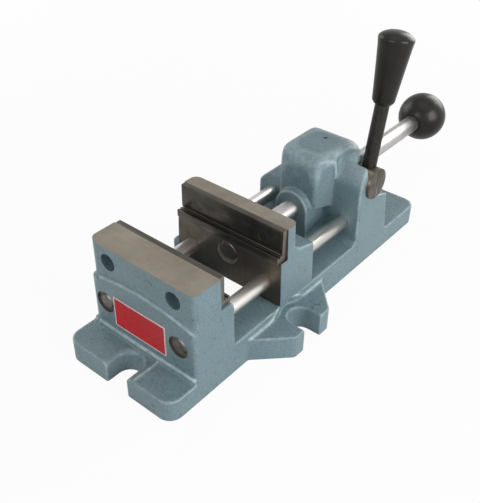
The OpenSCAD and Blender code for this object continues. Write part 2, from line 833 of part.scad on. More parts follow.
// Locking plate that hangs on the actuating rod and leans on the eccentric
module locking_plate(y) {
    difference() {
        along_y(y, y + lock_t) polygon([
            [-lock_w / 2, lock_low], [lock_w / 2, lock_low], [lock_w / 2, lock_shoulder],
            [lock_neck_w / 2, lock_shoulder], [lock_neck_w / 2, lock_high],
            [-lock_neck_w / 2, lock_high], [-lock_neck_w / 2, lock_shoulder], [-lock_w / 2, lock_shoulder]
        ]);
        bar_y(rod_d + 2 * run_fit, y - over, y + lock_t + over, 0, rod_z);
    }
}

module locking_plate_front() {
    color(machined) locking_plate(lock_front);
}

module locking_plate_rear() {
    color(machined) locking_plate(lock_front + lock_t);
}

// Return spring: one round wire swept along a helix on the actuating rod
spring_sides = 6;
spring_rings_per_turn = 8;
spring_start = spring_seat + spring_wire / 2 + seat_gap;
spring_end = lock_front - spring_wire / 2 - seat_gap;
spring_rings = spring_turns * spring_rings_per_turn;
spring_pitch = (spring_end - spring_start) / spring_turns;
function spring_point(i, k) = let (
    turn = 360 * i / spring_rings_per_turn,
    side = 360 * k / spring_sides,
    r = spring_mean_d / 2 + cos(side) * spring_wire / 2
) [
    r * cos(turn),
    spring_start + spring_pitch * turn / 360 + sin(side) * spring_wire / 2,
    rod_z + r * sin(turn)
];

echo(spring_least_gap = spring_pitch - spring_wire);

module return_spring() {
    last = spring_rings * spring_sides;
    points = [for (i = [0 : spring_rings]) for (k = [0 : spring_sides - 1]) spring_point(i, k)];
    wall = [for (i = [0 : spring_rings - 1]) for (k = [0 : spring_sides - 1])
        let (a = i * spring_sides + k, b = i * spring_sides + (k + 1) % spring_sides)
            each [[a, a + spring_sides, b], [b, a + spring_sides, b + spring_sides]]];
    caps = [for (k = [1 : spring_sides - 2]) each [[0, k, k + 1], [last, last + k + 1, last + k]]];
    color(bright_steel) polyhedron(points, concat(wall, caps));
}

base_casting();
fixed_jaw_plate();
fixed_jaw_screws();
name_plate();
guide_rod_left();
guide_rod_right();
guide_rod_set_screws();
movable_jaw();
movable_jaw_plate();
movable_jaw_screws();
actuating_rod();
rod_front_ring();
rod_rear_ring();
ball_knob();
ball_knob_insert();
cam_shaft();
cam_shaft_set_screw();
lever_rod();
lever_grip();
locking_plate_front();
locking_plate_rear();
return_spring();
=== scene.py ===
import math

import bpy
import numpy as np
from mathutils import Matrix, Vector
from mathutils.kdtree import KDTree


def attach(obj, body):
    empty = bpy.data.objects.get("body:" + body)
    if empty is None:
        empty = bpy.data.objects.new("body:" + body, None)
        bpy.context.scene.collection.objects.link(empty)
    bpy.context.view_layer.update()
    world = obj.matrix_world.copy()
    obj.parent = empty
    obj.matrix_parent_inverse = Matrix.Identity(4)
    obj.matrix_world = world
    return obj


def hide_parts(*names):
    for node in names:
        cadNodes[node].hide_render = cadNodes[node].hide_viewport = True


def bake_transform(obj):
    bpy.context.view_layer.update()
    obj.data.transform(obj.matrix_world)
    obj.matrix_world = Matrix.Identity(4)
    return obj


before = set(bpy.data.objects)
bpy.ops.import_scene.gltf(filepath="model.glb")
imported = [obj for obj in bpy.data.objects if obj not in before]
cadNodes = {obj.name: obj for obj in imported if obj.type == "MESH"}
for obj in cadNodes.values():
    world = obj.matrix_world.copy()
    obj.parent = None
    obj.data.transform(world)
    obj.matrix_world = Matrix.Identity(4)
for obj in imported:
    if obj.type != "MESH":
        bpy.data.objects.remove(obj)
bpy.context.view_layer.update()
print("frame loaded with", len(cadNodes), "nodes")

mm = 0.001
mergeGap = 0.000002  # points this near are one
facing = 0.99  # a face looks along an axis if its normal reaches this
smoothShare = 0.5  # how far a smoothing round moves each point


# small helpers for objects and edit mode

def clearSelection():
    if bpy.context.object and bpy.context.object.mode != "OBJECT":
        bpy.ops.object.mode_set(mode="OBJECT")
    bpy.ops.object.select_all(action="DESELECT")


def makeActive(obj):
    clearSelection()
    obj.select_set(True)
    bpy.context.view_layer.objects.active = obj


def editFaces(obj, test):
    # selects the faces whose centre and normal pass the test, and stays in edit mode
    makeActive(obj)
    bpy.ops.object.mode_set(mode="EDIT")
    bpy.ops.mesh.select_mode(type="FACE")
    bpy.ops.mesh.select_all(action="DESELECT")
    bpy.ops.object.mode_set(mode="OBJECT")
    for face in obj.data.polygons:
        face.select = test(face.center, face.normal)
    bpy.ops.object.mode_set(mode="EDIT")


def editAll():
    # edit mode with the whole of the active mesh selected
    bpy.ops.object.mode_set(mode="EDIT")
    bpy.ops.mesh.select_all(action="SELECT")


def leaveEdit():
    bpy.ops.object.mode_set(mode="OBJECT")


def extrudeBy(x, y, z):
    bpy.ops.mesh.extrude_region_move(TRANSFORM_OT_translate={"value": (x * mm, y * mm, z * mm)})


def applyModifier(obj, kind, **values):
    makeActive(obj)
    mod = obj.modifiers.new(kind.lower(), kind)
    for key, value in values.items():
        setattr(mod, key, value)
    bpy.ops.object.modifier_apply(modifier=mod.name)


def bevelEdges(obj, width, angle, segments=2):
    applyModifier(obj, "BEVEL", width=width * mm, segments=segments, limit_method="ANGLE",
                  angle_limit=math.radians(angle))


def placeMesh(obj):
    # moves the object's place into its mesh
    makeActive(obj)
    bpy.ops.object.transform_apply(location=True, rotation=True, scale=True)


def copyOfNode(node, name):
    # own mesh of a CAD node, merged so that it is one skin
    obj = bpy.data.objects.new(name, cadNodes[node].data.copy())
    bpy.context.scene.collection.objects.link(obj)
    obj.data.materials.clear()
    makeActive(obj)
    bpy.ops.mesh.customdata_custom_splitnormals_clear()
    editAll()
    bpy.ops.mesh.remove_doubles(threshold=mergeGap)
    leaveEdit()
    return obj


def addBox(name, low, high):
    clearSelection()
    low, high = Vector(low) * mm, Vector(high) * mm
    bpy.ops.mesh.primitive_cube_add(size=1, location=(low + high) / 2)
    obj = bpy.context.object
    obj.name = name
    obj.scale = high - low
    placeMesh(obj)
    return obj


def addRod(name, radius, start, end, sides=64):
    clearSelection()
    start, end = Vector(start) * mm, Vector(end) * mm
    way = end - start
    bpy.ops.mesh.primitive_cylinder_add(
        vertices=sides, radius=radius * mm, depth=way.length,
        location=(start + end) / 2, rotation=way.to_track_quat("Z", "Y").to_euler())
    obj = bpy.context.object
    obj.name = name
    placeMesh(obj)
    return obj


def addBead(name, radius, points):
    # thin round bar through the points, for a raised line on a casting
    curve = bpy.data.curves.new(name, "CURVE")
    curve.dimensions = "3D"
    curve.bevel_depth = radius * mm
    curve.bevel_resolution = 4
    curve.use_fill_caps = True
    line = curve.splines.new("POLY")
    line.points.add(len(points) - 1)
    for spot, place in zip(line.points, points):
        spot.co = (*(Vector(place) * mm), 1)
    obj = bpy.data.objects.new(name, curve)
    bpy.context.scene.collection.objects.link(obj)
    makeActive(obj)
    bpy.ops.object.convert(target="MESH")
    return bpy.context.object


def joinInto(obj, others):
    makeActive(obj)
    for other in others:
        other.select_set(True)
    bpy.ops.object.join()


def cutAway(obj, cutters):
    # takes separate cutters out of a casting in one go
    joinInto(cutters[0], cutters[1:])
    applyModifier(obj, "BOOLEAN", operation="DIFFERENCE", object=cutters[0], solver="MANIFOLD")
    bpy.data.objects.remove(cutters[0])


def giveFinish(obj, mats, rules):
    # the first finish goes all over, then each rule gives its faces another one
    obj.data.materials.clear()
    for face in obj.data.polygons:
        face.material_index = 0
    for mat in mats:
        obj.data.materials.append(mat)
    for index, test in rules:
        editFaces(obj, test)
        obj.active_material_index = index
        bpy.ops.object.material_slot_assign()
        leaveEdit()


def smoothShade(obj, angle):
    makeActive(obj)
    bpy.ops.object.shade_smooth_by_angle(angle=math.radians(angle))


def finishPiece(obj, body, slot, *nodes):
    if nodes:
        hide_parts(*nodes)
    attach(obj, body)
    obj.data.update()
    print(obj.name, "has", sum(len(p.vertices) - 2 for p in obj.data.polygons), "triangles")


def softenRegion(obj, weightAt, rounds):
    # smooths only where the weight says so
    group = obj.vertex_groups.new(name="soft")
    for vert in obj.data.vertices:
        weight = weightAt(vert.co / mm)
        if weight > 0:
            group.add([vert.index], weight, "REPLACE")
    applyModifier(obj, "SMOOTH", factor=smoothShare, iterations=rounds, vertex_group="soft")
    obj.vertex_groups.clear()


def measureRidges(obj, reach):
    # how far each point of an even mesh stands above its smoothed surroundings, in mm
    mesh = obj.data
    count = len(mesh.vertices)
    places, normals = np.empty(count * 3), np.empty(count * 3)
    ends = np.empty(len(mesh.edges) * 2, dtype=np.int64)
    mesh.vertices.foreach_get("co", places)
    mesh.vertices.foreach_get("normal", normals)
    mesh.edges.foreach_get("vertices", ends)
    places, normals = places.reshape(-1, 3) / mm, normals.reshape(-1, 3)
    first, second = ends[0::2], ends[1::2]
    around = np.maximum(np.bincount(ends, minlength=count), 1)
    smooth = places.copy()
    for turn in range(reach):
        for axis in range(3):
            column = smooth[:, axis]
            total = np.bincount(first, column[second], count) + np.bincount(second, column[first], count)
            smooth[:, axis] = (1 - smoothShare) * column + smoothShare * total / around
    return places, ((places - smooth) * normals).sum(axis=1)


def keepRidges(obj, places, heights):
    # stores the measured ridges on the finished mesh, for the paint's painted highlights and painted shade
    tree = KDTree(len(places))
    for index, place in enumerate(places):
        tree.insert(place, index)
    tree.balance()
    ridge = obj.data.attributes.new("ridge", "FLOAT", "POINT")
    values = [heights[tree.find(vert.co / mm)[1]] for vert in obj.data.vertices]
    ridge.data.foreach_set("value", values)


def shareOf(values, low, high):
    return np.clip((values - low) / (high - low), 0, 1)


lineLift = {"step": 0.6, "margin": 4, "fade": 0.5}


def liftLine(places, heights, points, radius, gain):
    # painted highlight: lets the paint show a raised line as a lighter one
    spots = []
    for start, end in zip(points, points[1:]):
        start, way = Vector(start), Vector(end) - Vector(start)
        steps = max(1, int(way.length / lineLift["step"]))
        spots += [start + way * (i / steps) for i in range(steps + 1)]
    tree = KDTree(len(spots))
    for index, spot in enumerate(spots):
        tree.insert(spot, index)
    tree.balance()
    low, high = np.min(spots, axis=0) - lineLift["margin"], np.max(spots, axis=0) + lineLift["margin"]
    for index in np.flatnonzero(((places > low) & (places < high)).all(axis=1)):
        above = tree.find(places[index])[2] - radius
        heights[index] = max(heights[index], gain * (1 - max(0.0, above) / lineLift["fade"]))


def liftShoulders(heights, broad, chosen, s):
    # painted highlight: wide rounded shoulders show the paint a little lighter, as where light falls on them
    share = shareOf(broad, *s["height"]) * chosen
    np.maximum(heights, s["gain"] * share, out=heights)


def paintTopHighlight(places, heights, s):
    # painted highlight: the wing's top shows the paint a little lighter, as if lit from above
    x, y, z = places.T
    share = shareOf(z, *s["z"]) * (x > s["x"]) * (y > s["y"][0]) * (y < s["y"][1])
    np.maximum(heights, s["gain"] * share, out=heights)


def thinMesh(obj, limit):
    # fewer faces where the skin is flat
    count = sum(len(p.vertices) - 2 for p in obj.data.polygons)
    if count > limit:
        applyModifier(obj, "DECIMATE", ratio=limit / count)


def isAt(value, place, slack=0.03):
    return abs(value / mm - place) < slack


# camera fitted to the photo

photoCamera = {
    "place": (0.30613, -0.29436, 0.40757),
    "azimuth": 39.43,
    "elevation": 36.87,
    "roll": 0.70,
    "focalPixels": 746.85,
    "frameHeight": 503,
    "sensor": 36.0,
    "clip": (0.01, 50),
}


def setCamera(s):
    az, el, roll = (math.radians(s[k]) for k in ("azimuth", "elevation", "roll"))
    back = Vector((math.sin(az) * math.cos(el), -math.cos(az) * math.cos(el), math.sin(el)))
    right = Vector((math.cos(az), math.sin(az), 0))
    up = back.cross(right)
    tiltedRight = right * math.cos(roll) + up * math.sin(roll)
    tiltedUp = up * math.cos(roll) - right * math.sin(roll)
    data = bpy.data.cameras.new("photoCamera")
    data.sensor_fit = "VERTICAL"
    data.sensor_height = s["sensor"]
    data.lens = s["focalPixels"] * s["sensor"] / s["frameHeight"]
    data.clip_start, data.clip_end = s["clip"]
    cam = bpy.data.objects.new("photoCamera", data)
    bpy.context.scene.collection.objects.link(cam)
    cam.matrix_world = Matrix((
        (tiltedRight.x, tiltedUp.x, back.x, s["place"][0]),
        (tiltedRight.y, tiltedUp.y, back.y, s["place"][1]),
        (tiltedRight.z, tiltedUp.z, back.z, s["place"][2]),
        (0, 0, 0, 1),
    ))
    bpy.context.scene.camera = cam


setCamera(photoCamera)
print("camera set")


# node helpers for materials

midBand, innerBand = (0.3, 0.7), (0.35, 0.65)  # where most values of a noise lie


def newMaterial(name):
    mat = bpy.data.materials.new(name)
    mat.use_nodes = True
    tree = mat.node_tree
    tree.nodes.clear()
    out = tree.nodes.new("ShaderNodeOutputMaterial")
    shader = tree.nodes.new("ShaderNodeBsdfPrincipled")
    tree.links.new(shader.outputs["BSDF"], out.inputs["Surface"])
    return mat, tree, shader


def addNode(tree, kind, links=None, **values):
    node = tree.nodes.new(kind)
    for key, value in values.items():
        if key in node.inputs:
            node.inputs[key].default_value = value
        else:
            setattr(node, key, value)
    for socket, source in (links or {}).items():
        tree.links.new(source, node.inputs[socket])
    return node


def objectCoords(tree, scale=(1, 1, 1)):
    coords = tree.nodes.new("ShaderNodeTexCoord")
    mapping = addNode(tree, "ShaderNodeMapping", {"Vector": coords.outputs["Object"]}, Scale=scale)
    return mapping.outputs["Vector"]


def noiseOn(tree, vector, scale, detail, rough=0.55):
    node = addNode(tree, "ShaderNodeTexNoise", {"Vector": vector}, Scale=scale, Detail=detail, Roughness=rough)
    return node.outputs["Fac"]


def rampOn(tree, fac, stops):
    node = addNode(tree, "ShaderNodeValToRGB", {"Fac": fac})
    ramp = node.color_ramp
    while len(ramp.elements) < len(stops):
        ramp.elements.new(0.5)
    for element, (place, colour) in zip(ramp.elements, stops):
        element.position = place
        element.color = (*colour, 1.0)
    return node.outputs["Color"]


def twoTones(tree, fac, band, dark, light):
    return rampOn(tree, fac, [(band[0], dark), (band[1], light)])


def rangeOn(tree, value, low, high, toLow, toHigh):
    node = addNode(tree, "ShaderNodeMapRange", {"Value": value})
    for key, number in (("From Min", low), ("From Max", high), ("To Min", toLow), ("To Max", toHigh)):
        node.inputs[key].default_value = number
    return node.outputs["Result"]


def mathOn(tree, operation, first, second):
    return addNode(tree, "ShaderNodeMath", {0: first, 1: second}, operation=operation).outputs[0]


def mixColours(tree, fac, first, second):
    # sockets 0, 6 and 7 are the share and the two colours, and output 2 is the mixed colour
    node = addNode(tree, "ShaderNodeMix", {0: fac, 6: first}, data_type="RGBA")
    node.inputs[7].default_value = (*second, 1.0)
    return node.outputs[2]


def bumpOn(tree, height, strength, distance, normal=None):
    node = addNode(tree, "ShaderNodeBump", {"Height": height}, Strength=strength, Distance=distance)
    if normal:
        tree.links.new(normal, node.inputs["Normal"])
    return node.outputs["Normal"]


def setShader(tree, shader, **values):
    # each value is a plain number or another node's output
    names = {"colour": "Base Color", "rough": "Roughness", "normal": "Normal", "metal": "Metallic",
             "spec": "Specular IOR Level"}
    for key, value in values.items():
        if hasattr(value, "links"):
            tree.links.new(value, shader.inputs[names[key]])
        else:
            shader.inputs[names[key]].default_value = value


# finishes

# a share names the range of its noise or ridge height, then what that range gives
enamelLook = {
    "shade": (0.128, 0.200, 0.226),
    "middle": (0.166, 0.252, 0.280),
    "light": (0.212, 0.306, 0.336),
    # painted highlight: the lighter colour that the paint takes on ridges and raised lines
    "edge": (0.420, 0.530, 0.560),
    # painted shade: the darker colour that the paint takes in creases and valleys
    "hollow": (0.090, 0.150, 0.172),
    "pit": (0.070, 0.112, 0.124),
    "speckScale": 620, "speckStops": (0.30, 0.5, 0.70),
    "cloudScale": 38, "cloudShare": (0.35, 0.7, 0.0, 0.3),
    "pitScale": 270, "pitShare": (0.60, 0.72, 0.0, 0.8), "pitPatches": (0.46, 0.60, 0.1, 1.0),
    "ridgeJitter": (-0.04, 0.04), "hollowShare": (-0.10, -0.34, 0.0, 0.65), "edgeHighlightShare": (0.10, 0.62, 0.0, 1.0),
    # noise that breaks up the painted edge highlight into uneven lines
    "sheenBreakScale": 150, "sheenBreakShare": (0.35, 0.60, 0.45, 1.0),
    "pebbleScale": 400, "pebbleStrength": (0.3, 0.75), "pebbleDepth": 0.0006,
    "peelScale": 1100, "peelBump": (0.2, 0.0003),
    "rough": (0.30, 0.44), "spec": 0.5,
}


def makeEnamel(s):
    mat, tree, shader = newMaterial("blueGreyEnamel")
    place = objectCoords(tree)
    speck = noiseOn(tree, place, s["speckScale"], 3, 0.6)
    cloud = noiseOn(tree, place, s["cloudScale"], 2)
    colour = rampOn(tree, speck, list(zip(s["speckStops"], (s["shade"], s["middle"], s["light"]))))
    colour = mixColours(tree, rangeOn(tree, cloud, *s["cloudShare"]), colour, s["shade"])
    pits = rangeOn(tree, noiseOn(tree, place, s["pitScale"], 2, 0.5), *s["pitShare"])
    pitted = mathOn(tree, "MULTIPLY", pits, rangeOn(tree, cloud, *s["pitPatches"]))
    colour = mixColours(tree, pitted, colour, s["pit"])
    # painted shade in creases and painted highlight on ridges, both read from the ridge attribute
    form = addNode(tree, "ShaderNodeAttribute", attribute_name="ridge")
    ridgeShadeAndSheen = mathOn(tree, "ADD", form.outputs["Fac"], rangeOn(tree, speck, *midBand, *s["ridgeJitter"]))
    colour = mixColours(tree, rangeOn(tree, ridgeShadeAndSheen, *s["hollowShare"]), colour, s["hollow"])
    sheenBreak = rangeOn(tree, noiseOn(tree, place, s["sheenBreakScale"], 3), *s["sheenBreakShare"])
    edge = mathOn(tree, "MULTIPLY", rangeOn(tree, ridgeShadeAndSheen, *s["edgeHighlightShare"]), sheenBreak)
    colour = mixColours(tree, edge, colour, s["edge"])
    pebble = noiseOn(tree, place, s["pebbleScale"], 4, 0.6)
    strength = rangeOn(tree, cloud, *innerBand, *s["pebbleStrength"])
    coarse = addNode(tree, "ShaderNodeBump", {"Height": pebble, "Strength": strength}, Distance=s["pebbleDepth"])
    normal = bumpOn(tree, noiseOn(tree, place, s["peelScale"], 2), *s["peelBump"], coarse.outputs["Normal"])
    setShader(tree, shader, colour=colour, rough=rangeOn(tree, speck, *midBand, *s["rough"]), normal=normal,
              spec=s["spec"])
    return mat


machinedLook = {
    "dark": (0.236, 0.206, 0.166), "light": (0.328, 0.292, 0.242), "streakScale": (10, 420, 10),
    "cloudScale": 45, "rough": (0.36, 0.50), "metal": 0.9, "streak": 0.3,
}
plateLook = {
    "dark": (0.066, 0.060, 0.050), "light": (0.115, 0.105, 0.089), "streakScale": (14, 200, 500),
    "cloudScale": 60, "rough": (0.26, 0.38), "metal": 0.85, "streak": 0.3,
}
# darker copy of the machined look for faces turned away from the light: partly the iron's own tone, partly painted
# shade
shadedFaceLook = {
    "dark": (0.112, 0.092, 0.075), "light": (0.185, 0.155, 0.130), "streakScale": (500, 14, 14),
    "cloudScale": 50, "rough": (0.34, 0.50), "metal": 0.85, "streak": 0.3,
}
discLook = {
    "dark": (0.075, 0.064, 0.050), "light": (0.225, 0.202, 0.168), "streakScale": (30, 520, 40),
    "cloudScale": 90, "rough": (0.34, 0.50), "metal": 0.9, "streak": 0.85,
}
rodEndLook = {
    "dark": (0.120, 0.104, 0.096), "light": (0.250, 0.232, 0.212), "streakScale": (300, 40, 60),
    "cloudScale": 220, "rough": (0.34, 0.50), "metal": 0.9, "streak": 0.4,
}
# lighter and less metallic than bare steel: a painted highlight for the rings and the recess round them, which sit
# in shade
ringGlintLook = {
    "dark": (0.330, 0.302, 0.270), "light": (0.560, 0.520, 0.470), "streakScale": (200, 40, 200),
    "cloudScale": 160, "rough": (0.34, 0.46), "metal": 0.35, "streak": 0.4,
}
endLook = {
    "dark": (0.130, 0.114, 0.104), "light": (0.220, 0.198, 0.184), "streakScale": (30, 300, 60),
    "cloudScale": 120, "rough": (0.32, 0.46), "metal": 0.7, "streak": 0.4,
}
machinedGrain = {"cloudBand": (0.32, 0.68), "streakBand": (0.42, 0.66), "bump": (0.08, 0.0002)}


def makeMachined(name, s):
    mat, tree, shader = newMaterial(name)
    fine = noiseOn(tree, objectCoords(tree, s["streakScale"]), 1.0, 3, 0.5)
    cloud = noiseOn(tree, objectCoords(tree), s["cloudScale"], 4, 0.6)
    colour = twoTones(tree, cloud, machinedGrain["cloudBand"], s["dark"], s["light"])
    streaks = rangeOn(tree, fine, *machinedGrain["streakBand"], 0, s["streak"])
    setShader(tree, shader, colour=mixColours(tree, streaks, colour, s["dark"]), metal=s["metal"],
              rough=rangeOn(tree, fine, *midBand, *s["rough"]), normal=bumpOn(tree, fine, *machinedGrain["bump"]))
    return mat


rodLook = {"dark": (0.68, 0.650, 0.610), "light": (0.80, 0.775, 0.735), "rough": (0.34, 0.36)}
pushRodLook = {"dark": (0.47, 0.455, 0.435), "light": (0.61, 0.595, 0.575), "rough": (0.34, 0.37)}
rodGrain = {"ringScale": (10, 260, 10), "cloudScale": (120, 6, 120)}


def makeRodSteel(name, s):
    mat, tree, shader = newMaterial(name)
    rings = noiseOn(tree, objectCoords(tree, rodGrain["ringScale"]), 1.0, 2)
    cloud = noiseOn(tree, objectCoords(tree, rodGrain["cloudScale"]), 1.0, 1)
    setShader(tree, shader, colour=twoTones(tree, cloud, innerBand, s["dark"], s["light"]), metal=1.0,
              rough=rangeOn(tree, rings, *midBand, *s["rough"]))
    return mat


plasticLook = {
    "dark": (0.0060, 0.0053, 0.0038), "light": (0.0125, 0.0110, 0.0084), "grainScale": 700, "cloudScale": 40,
    "rough": (0.26, 0.32), "bump": (0.05, 0.0002), "spec": 0.3,
}


def makeBlackPlastic(s):
    mat, tree, shader = newMaterial("mouldedBlackPlastic")
    grain = noiseOn(tree, objectCoords(tree), s["grainScale"], 3)
    cloud = noiseOn(tree, objectCoords(tree), s["cloudScale"], 2)
    setShader(tree, shader, colour=twoTones(tree, cloud, innerBand, s["dark"], s["light"]), spec=s["spec"],
              rough=rangeOn(tree, cloud, *midBand, *s["rough"]), normal=bumpOn(tree, grain, *s["bump"]))
    return mat


blackSteelLook = {
    "dark": (0.022, 0.020, 0.017), "light": (0.036, 0.033, 0.028), "grainScale": 420,
    "rough": (0.26, 0.36), "bump": (0.03, 0.0003), "metal": 0.6,
}


def makeBlackSteel(s):
    mat, tree, shader = newMaterial("blackOxideSteel")
    grain = noiseOn(tree, objectCoords(tree), s["grainScale"], 4)
    setShader(tree, shader, colour=twoTones(tree, grain, midBand, s["dark"], s["light"]), metal=s["metal"],
              rough=rangeOn(tree, grain, *midBand, *s["rough"]), normal=bumpOn(tree, grain, *s["bump"]))
    return mat


badgeLook = {
    "deep": (0.530, 0.0215, 0.0275), "bright": (0.560, 0.0245, 0.0305), "grainScale": 900,
    "rough": (0.27, 0.30), "spec": 0.3,
    "rim": (0.80, 0.66, 0.64), "rimShade": 0.88, "rimScale": 300, "rimRough": 0.4,
}


def makeBadgeRed(s):
    mat, tree, shader = newMaterial("redBadgeEnamel")
    cloud = noiseOn(tree, objectCoords(tree), s["grainScale"], 2)
    setShader(tree, shader, colour=twoTones(tree, cloud, midBand, s["deep"], s["bright"]), spec=s["spec"],
              rough=rangeOn(tree, cloud, *midBand, *s["rough"]))
    return mat


def makeBadgeRim(s):
    mat, tree, shader = newMaterial("paleBadgeRim")
    cloud = noiseOn(tree, objectCoords(tree), s["rimScale"], 2)
    pale = tuple(c * s["rimShade"] for c in s["rim"])
    setShader(tree, shader, colour=twoTones(tree, cloud, innerBand, pale, s["rim"]), rough=s["rimRough"])
    return mat


brassLook = {"dark": (0.42, 0.30, 0.10), "light": (0.62, 0.46, 0.18), "ringScale": (30, 1200, 30), "rough": 0.32}


def makeBrass(s):
    mat, tree, shader = newMaterial("turnedBrass")
    rings = noiseOn(tree, objectCoords(tree, s["ringScale"]), 1.0, 3)
    setShader(tree, shader, colour=twoTones(tree, rings, midBand, s["dark"], s["light"]), metal=1.0,
              rough=s["rough"])
    return mat


enamel = makeEnamel(enamelLook)
machinedTop = makeMachined("machinedTop", machinedLook)
shadedMachinedFace = makeMachined("shadedMachinedJawFace", shadedFaceLook)
plateSteel = makeMachined("darkPlateSteel", plateLook)
turnedSteel = makeMachined("turnedDarkSteel", discLook)
sawnEnd = makeMachined("sawnRodEnd", rodEndLook)
glintRingSteel = makeMachined("springRingSteelGlint", ringGlintLook)
plateEnd = makeMachined("plateEndSteel", endLook)
rodSteel = makeRodSteel("groundRodSteel", rodLook)
pushSteel = makeRodSteel("satinPushRodSteel", pushRodLook)
blackPlastic = makeBlackPlastic(plasticLook)
blackSteel = makeBlackSteel(blackSteelLook)
badgeRed = makeBadgeRed(badgeLook)
badgeRim = makeBadgeRim(badgeLook)
brass = makeBrass(brassLook)
print("finishes made")


# castings, softened like sand-cast iron and cut flat where they are machined

def addStock(obj, test, x, y, z):
    # metal on a machined face, which a later cut takes off again
    editFaces(obj, test)
    extrudeBy(x, y, z)
    leaveEdit()


def fillSeat(low, high, topShare):
    # block in a jaw plate's seat, narrowing with the casting's draft
    fill = addBox("seatFill", low, high)
    editFaces(fill, lambda c, n: n.z > facing)
    bpy.ops.transform.resize(value=(topShare, 1, 1))
    leaveEdit()
    return fill


def middleRods(name, holes):
    return [addRod(name, *hole) for hole in holes.values()]


def sideRods(name, holes):
    # the same rods on the left and on the right
    rods = []
    for side in (-1, 1):
        for radius, (startX, *start), (endX, *end) in holes.values():
            rods.append(addRod(name, radius, (side * startX, *start), (side * endX, *end)))
    return rods


def castSkin(obj, s):
    # one even skin over all that was joined, with softened edges
    applyModifier(obj, "REMESH", mode="VOXEL", voxel_size=s["voxel"] * mm, adaptivity=0)
    applyModifier(obj, "SMOOTH", factor=smoothShare, iterations=s["rounds"])


def cutFaces(obj, cuts):
    # flat cuts of the machined faces
    for low, high in cuts.values():
        cutAway(obj, [addBox("cut", low, high)])


def boreHoles(obj, bores):
    # the long bores first, then those that widen or cross them
    for holes in bores.values():
        cutAway(obj, middleRods("bore", holes["middle"]) + sideRods("bore", holes["sides"]))


baseCasting = {
    "voxel": 0.85, "rounds": 7, "stock": 3.0, "triangles": 150000, "ridgeReach": 10, "smooth": 40,
    "jawTop": 95.0, "seatBack": -4.8, "seatFloor": 68.0, "padFront": -33.0, "guideX": 37.0, "guideZ": 44.5,
    "camY": 190.8, "camZ": 79.0, "recess": 9.0, "recessDepth": 2.0, "recessSlack": (0.02, 0.05),
    "seatFill": ((-52.5, -4.8, 67.0), (52.5, 5.3, 98.0)), "seatDraft": 0.984,
    "leverCut": (36.8, 181.2, 65.8), "leverPlay": 0.35, "leverFar": (80, 260, 130),
    "slope": ((192.0, 66.0), (207.0, 60.6)), "slopeDepth": 6,
    "archRise": 70.6, "archRadius": 186.25, "archSink": 0.5, "archSteps": (-50, 53, 2),
    "domeZone": {"y": (148, 216), "z": (86, 97)}, "domeRounds": 110,
    "cornerZone": (-42, -20, 24), "cornerRounds": 6, "cornerFront": -34,
    "endZone": {"x": 44, "y": 6, "z": (90, 94)}, "endRounds": 60,
    "head": {"y": 140, "z": (72, 88)},
    "shoulder": {"reach": 120, "height": (0.08, 0.44), "gain": 0.36},
    "wingTop": {"x": 27.5, "y": (166, 187), "z": (76, 84), "gain": 0.23},
    "leftCorner": [
        {"centre": (-43.6, -21.0), "radius": 12.0, "from": 20.0, "to": 63.0},
        {"centre": (-42.5, -21.0), "radius": 10.0, "from": 63.0, "to": 99.0},
    ],
    "cuts": {
        "top": ((-80, -50, 95.0), (80, -4.8, 120)),
        "seat": ((-80, -4.8, 68.0), (80, 30, 120)),
        "foot": ((-120, -90, -20), (120, 300, 0)),
    },
}

# fillings of the base's holes, each with radius, start and end
basePlugs = {
    "sides": {
        "recess": (9.2, (37.0, -33.0, 44.5), (37.0, -29.0, 44.5)),
        "guideFront": (6.6, (37.0, -31.0, 44.5), (37.0, 8.6, 44.5)),
        "guideRear": (6.6, (37.0, 169.3, 44.5), (37.0, 207.3, 44.5)),
        "screwHead": (7.2, (32.0, -31.0, 82.5), (32.0, -14.5, 82.5)),
        "screw": (4.2, (32.0, -15.5, 82.5), (32.0, 2, 82.5)),
        "setScrew": (4.3, (37.0, -15.5, -3.0), (37.0, -15.5, 38)),
    },
    "middle": {
        "rodFront": (8.2, (0, 144.8, 54.0), (0, 152.8, 54.0)),
        "rodRear": (8.2, (0, 202.8, 54.0), (0, 214.3, 54.0)),
        "cam": (13.7, (13.5, 190.8, 79.0), (51.9, 190.8, 79.0)),
        "dome": (2.0, (0, 190.8, 91.0), (0, 190.8, 103.5)),
        "keep": (3.4, (-16.5, 205.3, 79.0), (-16.5, 209.3, 79.0)),
    },
}

# bores of the base in the same form, the cam's with its number of sides
baseBores = {
    "long": {
        "middle": {
            "rod": (8.1, (0, 139.8, 54.0), (0, 230, 54.0)),
            "cam": (13.65, (-21.8, 190.8, 79.0), (60, 190.8, 79.0), 96),
        },
        "sides": {"guide": (6.45, (37.0, -38.0, 44.5), (37.0, 206.3, 44.5))},
    },
    "short": {
        "middle": {
            "dome": (1.8, (0, 190.8, 84.0), (0, 190.8, 115)),
            "keep": (3.05, (-16.5, 193.8, 79.0), (-16.5, 219.3, 79.0)),
        },
        "sides": {
            "recess": (9.0, (37.0, -38.0, 44.5), (37.0, -31.0, 44.5)),
            "screwHead": (7.05, (32.0, -38.0, 82.5), (32.0, -15.5, 82.5)),
            "setScrew": (4.05, (37.0, -15.5, -10), (37.0, -15.5, 39)),
        },
    },
}

